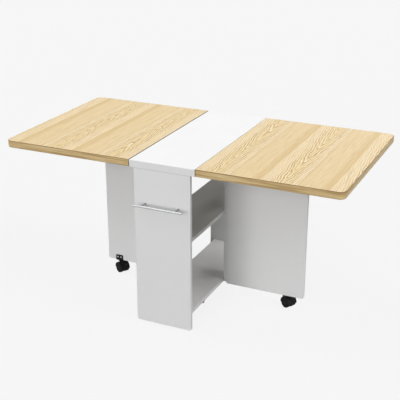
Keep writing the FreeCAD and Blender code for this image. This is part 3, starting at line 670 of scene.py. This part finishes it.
@dataclass
class Cabinet:
    """The fixed body: centre top, end panels, shelves, posts and what joins them."""

    hardware: Hardware
    panel_corner: float = 8.0     # mm, round corners of an end panel
    board_corner: float = 0.5

    def dress(self) -> None:
        """Gives every board and fitting of the cabinet its finish."""
        melamine = Melamine()
        boards = (
            ("centre_top", Axis.Z, self.board_corner, False),
            ("front_end_panel", Axis.Y, self.panel_corner, True),
            ("rear_end_panel", Axis.Y, self.panel_corner, True),
            ("middle_shelf", Axis.Z, self.board_corner, False),
            ("bottom_shelf", Axis.Z, self.board_corner, False),
            ("right_hinge_post", Axis.X, self.board_corner, True),
            ("left_hinge_post", Axis.X, self.board_corner, True),
        )
        for node, thin, corner, joined in boards:
            dress(melamine.material(node, thin, corner, joined), node)
        dress(self.hardware.steel, "handle_bar", "handle_standoffs")
        dress(self.hardware.zinc, "handle_screws", "cam_bolts", "cabinet_screws",
              "post_angle_brackets", "leaf_hinge_fixed_plates", "leaf_hinge_pins",
              "gate_hinge_fixed_plates", "gate_hinge_pins", "cabinet_caster_plates")
        dress(self.hardware.cast, "cam_housings")
        dress(self.hardware.beech, "dowels")


@dataclass
class Leaf:
    """One hinged leaf: its board, edge band and the moving hinge plates."""

    side: Side
    hardware: Hardware

    def dress(self) -> None:
        """Gives the leaf's pieces their finishes."""
        name = self.side.value
        low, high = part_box(f"{name}_leaf_board")
        band_low, band_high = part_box(f"{name}_leaf_edge_band")
        outer_x = band_high.x if self.side is Side.RIGHT else band_low.x
        hinge_x = low.x if self.side is Side.RIGHT else high.x
        outer = Vector((outer_x, (low.y + high.y) / 2, high.z))
        width = abs(outer_x - hinge_x) / MM
        dress(AshLaminate().material(self.side, outer, width), f"{name}_leaf_board")
        dress(AshEdgeBand().material(self.side, band_high.z), f"{name}_leaf_edge_band")
        dress(self.hardware.zinc, f"{name}_leaf_hinge_plates", f"{name}_leaf_hinge_screws")


@dataclass
class Gate:
    """One swinging gate: its panel, hinge plates, glide and caster bracket."""

    side: Side
    hardware: Hardware
    board_corner: float = 0.5     # mm

    def dress(self) -> None:
        """Gives the gate's pieces their finishes."""
        name = f"{self.side.value}_gate"
        panel = f"{name}_panel"
        dress(Melamine().material(panel, Axis.Y, self.board_corner, False), panel)
        dress(self.hardware.zinc, f"{name}_hinge_plates", f"{name}_hinge_screws",
              f"{name}_bracket_screws")
        dress(self.hardware.white_nylon, f"{name}_glide")
        dress(self.hardware.powder, f"{name}_caster_bracket")


@dataclass
class Caster:
    """One twin-wheel caster: the moulded body stays as it is, and the wheels get their tread,
    dished hub with ribs, and hub cap. Sizes are in millimetres."""

    name: str
    hardware: Hardware
    tread_round: float = 3.0
    tread_depth: float = 6.8      # from the wheel's rim in to the groove round the hub
    groove_width: float = 0.6
    groove_depth: float = 0.8
    hub_rim_width: float = 1.2
    hub_rim_slope: float = 0.8    # how far the rim's inner wall leans in towards the dish
    dish_depth: float = 2.0
    bore: float = 3.05
    bore_end: float = 3.0         # from the wheel's outer face in to the end of its bore
    cap_radius: float = 7.5
    cap_chamfer: float = 0.7
    cap_crown: float = 0.1        # how far the cap's middle stays inside the wheel's face
    rib_count: int = 6
    rib_width: float = 2.0
    rib_height: float = 1.2
    rib_round: float = 0.3
    steps: int = 60               # sides round a wheel
    round_segments: int = 5

    def build(self) -> None:
        """Builds the wheel pair and dresses the rest."""
        node = f"{self.name}_caster_wheels"
        roll = joint(f"{self.name}_wheel_roll")
        centre = Vector(roll["pos_m"])
        axle = Vector(roll["axis"]).normalized()
        offsets = [vertex.co - centre for vertex in frame["nodes"][node].data.vertices]
        reach = [abs(offset.dot(axle)) for offset in offsets]
        radius = max((offset - axle * offset.dot(axle)).length for offset in offsets) / MM
        gap, width = min(reach) / MM, (max(reach) - min(reach)) / MM

        mesh = bmesh.new()
        for way in (1, -1):
            wheel = self._wheel(radius, width)
            outward = axle * way
            up = Vector((0, 0, 1))
            turn = Matrix((outward, up.cross(outward), up)).transposed().to_4x4()
            matrix = Matrix.Translation(centre + outward * gap * MM) @ turn @ Matrix.Scale(MM, 4)
            bmesh.ops.transform(wheel, matrix=matrix, verts=wheel.verts)
            part = bpy.data.meshes.new("wheel")
            wheel.to_mesh(part)
            wheel.free()
            mesh.from_mesh(part)
            bpy.data.meshes.remove(part)
        pair = finished(mesh, f"{self.name}_wheel_pair", [self.hardware.nylon, self.hardware.tread])
        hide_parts(node)
        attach(pair, f"{self.name}_wheels")

        dress(self.hardware.nylon, f"{self.name}_caster_body")
        dress(self.hardware.zinc, f"{self.name}_caster_axle")

    def _wheel(self, radius: float, width: float) -> bmesh.types.BMesh:
        """Spins one wheel about X, its inner face at X 0.

        Args:
            radius: The wheel's radius in millimetres.
            width: Its width in millimetres.

        Returns:
            The wheel as a bmesh, the hub's faces in slot 0 and the tread's in slot 1.
        """
        hub = radius - self.tread_depth
        groove = hub - self.groove_width
        groove_floor = width - self.groove_depth
        rim = groove - self.hub_rim_width
        dish = width - self.dish_depth
        bore_end = width - self.bore_end
        crown = width - self.cap_crown
        profile = (
            (bore_end, 0), (bore_end, self.bore), (0, self.bore), (0, radius), (width, radius),
            (width, hub), (groove_floor, hub), (groove_floor, groove), (width, groove), (width, rim),
            (dish, rim - self.hub_rim_slope), (dish, self.cap_radius),
            (width - self.cap_chamfer, self.cap_radius - self.cap_chamfer),
            (crown - self.cap_crown, self.cap_radius / 2), (crown, 0))
        wheel = bmesh.new()
        points = [wheel.verts.new((x, 0, z)) for x, z in profile]
        for first, second in zip(points, points[1:]):
            wheel.edges.new((first, second))
        bmesh.ops.spin(wheel, geom=wheel.verts[:] + wheel.edges[:], cent=(0, 0, 0), axis=(1, 0, 0),
                       angle=math.tau, steps=self.steps, use_merge=True)
        bmesh.ops.remove_doubles(wheel, verts=wheel.verts, dist=TOUCHING)
        bmesh.ops.recalc_face_normals(wheel, faces=wheel.faces)
        corners = [edge for edge in wheel.edges
                   if all(math.hypot(v.co.y, v.co.z) > radius - NEAR for v in edge.verts)
                   and abs(edge.verts[0].co.x - edge.verts[1].co.x) < NEAR]
        bmesh.ops.bevel(wheel, geom=corners, offset=self.tread_round, affect="EDGES",
                        segments=self.round_segments, profile=ARC, material=-1)
        for face in wheel.faces:
            middle = face.calc_center_median()
            if math.hypot(middle.y, middle.z) > hub - self.groove_width / 2:
                face.material_index = 1
        length = rim - self.cap_radius
        for i in range(self.rib_count):
            matrix = (Matrix.Rotation(math.tau * i / self.rib_count, 4, "X")
                      @ Matrix.Translation((dish, 0, (rim + self.cap_radius) / 2)))
            add_rib(wheel, matrix, (self.rib_height * 2, self.rib_width, length), self.rib_round)
        return wheel


@dataclass
class BrakeLever:
    """A gate caster's foot lever, with ribs across its pad for the shoe's grip. Sizes are in
    millimetres, and the pad's own come from its node."""

    side: Side
    hardware: Hardware
    pad_rise: float = 45.0        # degrees that the released pad stands above level
    rib_count: int = 4
    rib_pitch: float = 2.4
    rib_width: float = 1.0
    rib_height: float = 0.5
    rib_round: float = 0.2
    end_margin: float = 3.2       # from the pad's free end to the first rib
    side_margin: float = 2.8

    def build(self) -> None:
        """Builds the ribs and dresses the lever."""
        node = f"{self.side.value}_gate_brake_lever"
        press = joint(f"{self.side.value}_brake_press")
        pivot = Vector(press["pos_m"])
        axis = Vector(press["axis"]).normalized()
        level = axis.cross(Vector((0, 0, 1)))
        rise = math.radians(self.pad_rise)
        along = level * math.cos(rise) + Vector((0, 0, math.sin(rise)))
        normal = along.cross(axis)
        normal = normal if normal.z > 0 else -normal
        offsets = [vertex.co - pivot for vertex in frame["nodes"][node].data.vertices]
        length = max(offset.dot(along) for offset in offsets) / MM
        pad = [offset for offset in offsets if offset.dot(along) > length / 2 * MM]
        surface = max(offset.dot(normal) for offset in pad) / MM
        width = 2 * max(abs(offset.dot(axis)) for offset in pad) / MM

        mesh = bmesh.new()
        turn = Matrix((along, axis, normal)).transposed().to_4x4()
        to_pad = Matrix.Translation(pivot) @ turn @ Matrix.Scale(MM, 4)
        for i in range(self.rib_count):
            place = length - self.end_margin - i * self.rib_pitch
            size = (self.rib_width, width - 2 * self.side_margin, self.rib_height * 2)
            add_rib(mesh, Matrix.Translation((place, 0, surface)), size, self.rib_round)
        bmesh.ops.transform(mesh, matrix=to_pad, verts=mesh.verts)
        bmesh.ops.recalc_face_normals(mesh, faces=mesh.faces)
        ribs = finished(mesh, f"{self.side.value}_brake_lever_ribs", [self.hardware.nylon])
        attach(ribs, f"{self.side.value}_brake_lever")
        dress(self.hardware.nylon, node)


def add_rib(mesh: bmesh.types.BMesh, matrix: Matrix, size: tuple[float, float, float],
            softness: float) -> None:
    """Adds a bar with softened edges, half of it below the surface that it stands on.

    Args:
        mesh: The bmesh to add it to.
        matrix: The bar's place.
        size: Its size, twice its height above the surface among it.
        softness: The radius of its edges.
    """
    bar = bmesh.ops.create_cube(mesh, size=1, matrix=matrix @ Matrix.Diagonal((*size, 1)))["verts"]
    edges = {edge for vertex in bar for edge in vertex.link_edges}
    bmesh.ops.bevel(mesh, geom=list(edges), offset=softness, affect="EDGES",
                    segments=RIB_SEGMENTS, profile=ARC, material=-1)


def finished(mesh: bmesh.types.BMesh, name: str,
             materials: Sequence[bpy.types.Material]) -> bpy.types.Object:
    """Turns a bmesh into an object at the origin, smooth but for its sharp edges.

    Args:
        mesh: The bmesh, which is freed.
        name: The piece's name.
        materials: Its materials, in the order of its faces' slots.

    Returns:
        The object.
    """
    for face in mesh.faces:
        face.smooth = True
    for edge in mesh.edges:
        edge.smooth = edge.is_manifold and edge.calc_face_angle() < SMOOTH_ANGLE
    data = bpy.data.meshes.new(name)
    mesh.to_mesh(data)
    mesh.free()
    for material in materials:
        data.materials.append(material)
    piece = bpy.data.objects.new(name, data)
    bpy.context.scene.collection.objects.link(piece)
    log.info("built %s, %d faces", name, len(data.polygons))
    return piece


# -------------------------------------------------------------------------------------- studio


@dataclass(frozen=True)
class Lamp:
    """A soft distant lamp."""

    name: str
    azimuth: float                # degrees, 0 shines from the handle's end and 90 from +X
    elevation: float
    spread: float                 # degrees across
    power: float

    def build(self) -> None:
        """Adds the lamp to the scene."""
        light = bpy.data.lights.new(self.name, "SUN")
        light.energy = self.power
        light.angle = math.radians(self.spread)
        lamp = bpy.data.objects.new(self.name, light)
        turn, tilt = math.radians(self.azimuth), math.radians(self.elevation)
        source = Vector((math.sin(turn) * math.cos(tilt), -math.cos(turn) * math.cos(tilt),
                         math.sin(tilt)))
        lamp.rotation_euler = source.to_track_quat("Z", "Y").to_euler()
        bpy.context.scene.collection.objects.link(lamp)
        log.info("lit %s", self.name)


@dataclass(frozen=True)
class Studio:
    """Pale floor and surroundings, soft lamps and the camera. None of it is part of the table."""

    backdrop: str = "#F7F7F7"
    floor: str = "#E8E8E8"
    floor_bounce: str = "#5E5E5E"  # what light off the floor is tinted by, so that shade stays shade
    floor_half_width: float = 60.0  # m
    floor_cells: int = 2
    clean_share: float = 0.93     # how much of the floor's look is the plain backdrop
    ambient: float = 0.0          # the surroundings' own light, apart from how they look
    lamps: tuple[Lamp, ...] = (
        Lamp("high_left", -88.0, 50.0, 35.0, 1.15),
        Lamp("high_front", -15.0, 50.0, 35.0, 0.6),
        Lamp("low_front", -5.0, 13.0, 35.0, 1.5),
        Lamp("low_left", -24.0, 6.0, 35.0, 0.17),
        Lamp("right", 90.0, 42.0, 35.0, 1.65),
        Lamp("rear", 180.0, 50.0, 35.0, 0.45),
        Lamp("low_rear", 178.0, 10.0, 20.0, 0.8),
        Lamp("low_right", 75.0, 3.0, 35.0, 0.6),
    )
    eye: tuple[float, float, float] = (1.5775, -3.4055, 1.9519)  # m
    aim: tuple[float, float, float] = (68.289, 0.041, 24.854)  # degrees
    lens: float = 79.97           # mm
    sensor: float = 36.0

    def build(self) -> None:
        """Builds the whole studio."""
        self._surroundings()
        self._floor()
        for lamp in self.lamps:
            lamp.build()
        self._camera()
        settings = bpy.context.scene.view_settings
        settings.view_transform = "Standard"

    def _seen(self, graph: Graph) -> bpy.types.NodeSocket:
        """One where the camera, a reflection or a view through glass looks, and zero elsewhere."""
        camera, glossy, through = (
            graph.add("LightPath", out=f"Is {ray} Ray") for ray in ("Camera", "Glossy", "Transmission"))
        either = graph.add("Math", camera, glossy, operation="MAXIMUM")
        return graph.add("Math", either, through, operation="MAXIMUM")

    def _surroundings(self) -> None:
        """Makes the world, which looks like the backdrop and gives only the ambient light."""
        world = bpy.data.worlds.new("surroundings")
        world.use_nodes = True
        bpy.context.scene.world = world
        graph = Graph(world.node_tree)
        light = graph.add("Background", (1, 1, 1, 1), self.ambient)
        look = graph.add("Background", linear(self.backdrop), 1.0)
        graph.add("OutputWorld", graph.add("MixShader", self._seen(graph), light, look))

    def _floor(self) -> None:
        """Makes the pale floor, which keeps the table's shadow."""
        surface = Surface("pale_floor")
        bounce = surface.add("BsdfDiffuse", linear(self.floor_bounce))
        paint = surface.add("BsdfDiffuse", linear(self.floor))
        plain = surface.add("Emission", linear(self.backdrop), 1.0)
        look = surface.add("MixShader", self.clean_share, paint, plain)
        surface.add("OutputMaterial", surface.add("MixShader", self._seen(surface), bounce, look))
        mesh = bmesh.new()
        bmesh.ops.create_grid(mesh, x_segments=self.floor_cells,
                              y_segments=self.floor_cells, size=self.floor_half_width)
        finished(mesh, "floor", [surface.material])

    def _camera(self) -> None:
        """Places the camera."""
        data = bpy.data.cameras.new("camera")
        data.lens = self.lens
        data.sensor_width = self.sensor
        camera = bpy.data.objects.new("camera", data)
        camera.location = self.eye
        camera.rotation_euler = [math.radians(angle) for angle in self.aim]
        bpy.context.scene.collection.objects.link(camera)
        bpy.context.scene.camera = camera


def main() -> None:
    """Builds the table's looks piece by piece, then the studio."""
    logging.basicConfig(level=logging.INFO, format="%(name)s: %(message)s")
    hardware = Hardware.made()
    Cabinet(hardware).dress()
    for side in Side:
        Leaf(side, hardware).dress()
        Gate(side, hardware).dress()
        Caster(f"{side.value}_gate", hardware).build()
        BrakeLever(side, hardware).build()
    for corner in Corner:
        Caster(corner.value, hardware).build()
    Studio().build()


if __name__ == "__main__":
    main()
